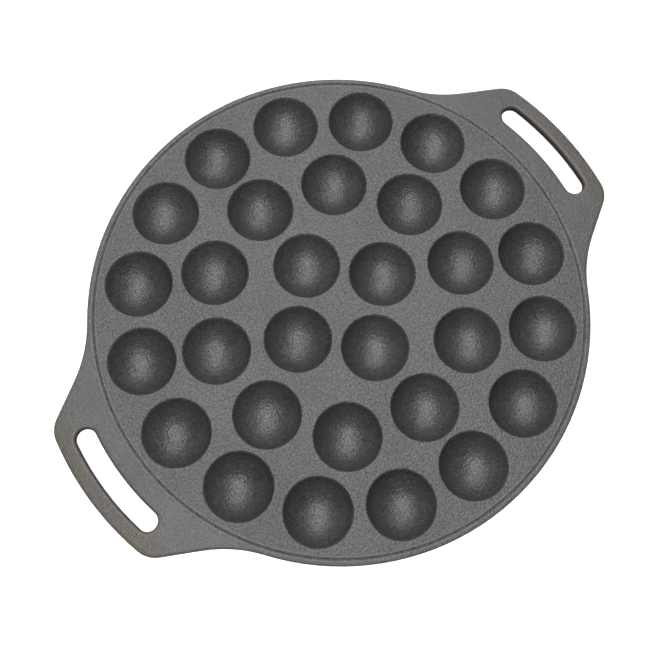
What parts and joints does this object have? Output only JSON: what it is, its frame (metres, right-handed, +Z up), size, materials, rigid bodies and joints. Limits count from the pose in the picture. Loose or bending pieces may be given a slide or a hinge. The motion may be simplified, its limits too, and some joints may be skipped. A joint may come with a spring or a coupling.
{
  "type": "poffertjes pan",
  "caption": "Round cast-iron poffertjes pan with rings of small round hollows, a low raised rim and two loop handles with finger slots, cast in one piece.",
  "frame": {"origin": "on the pan's axis, in the plane that the flats under the hollows rest on", "axes": "+Z up, out of the hollows; X along the line through both handles"},
  "size_m": [0.363, 0.2998, 0.0199],
  "materials": {
    "cast_iron": "fine-grained as-cast surface with a thin dark seasoning"
  },
  "bodies": {
    "root": {"pan": "cast_iron"}
  },
  "joints": []
}
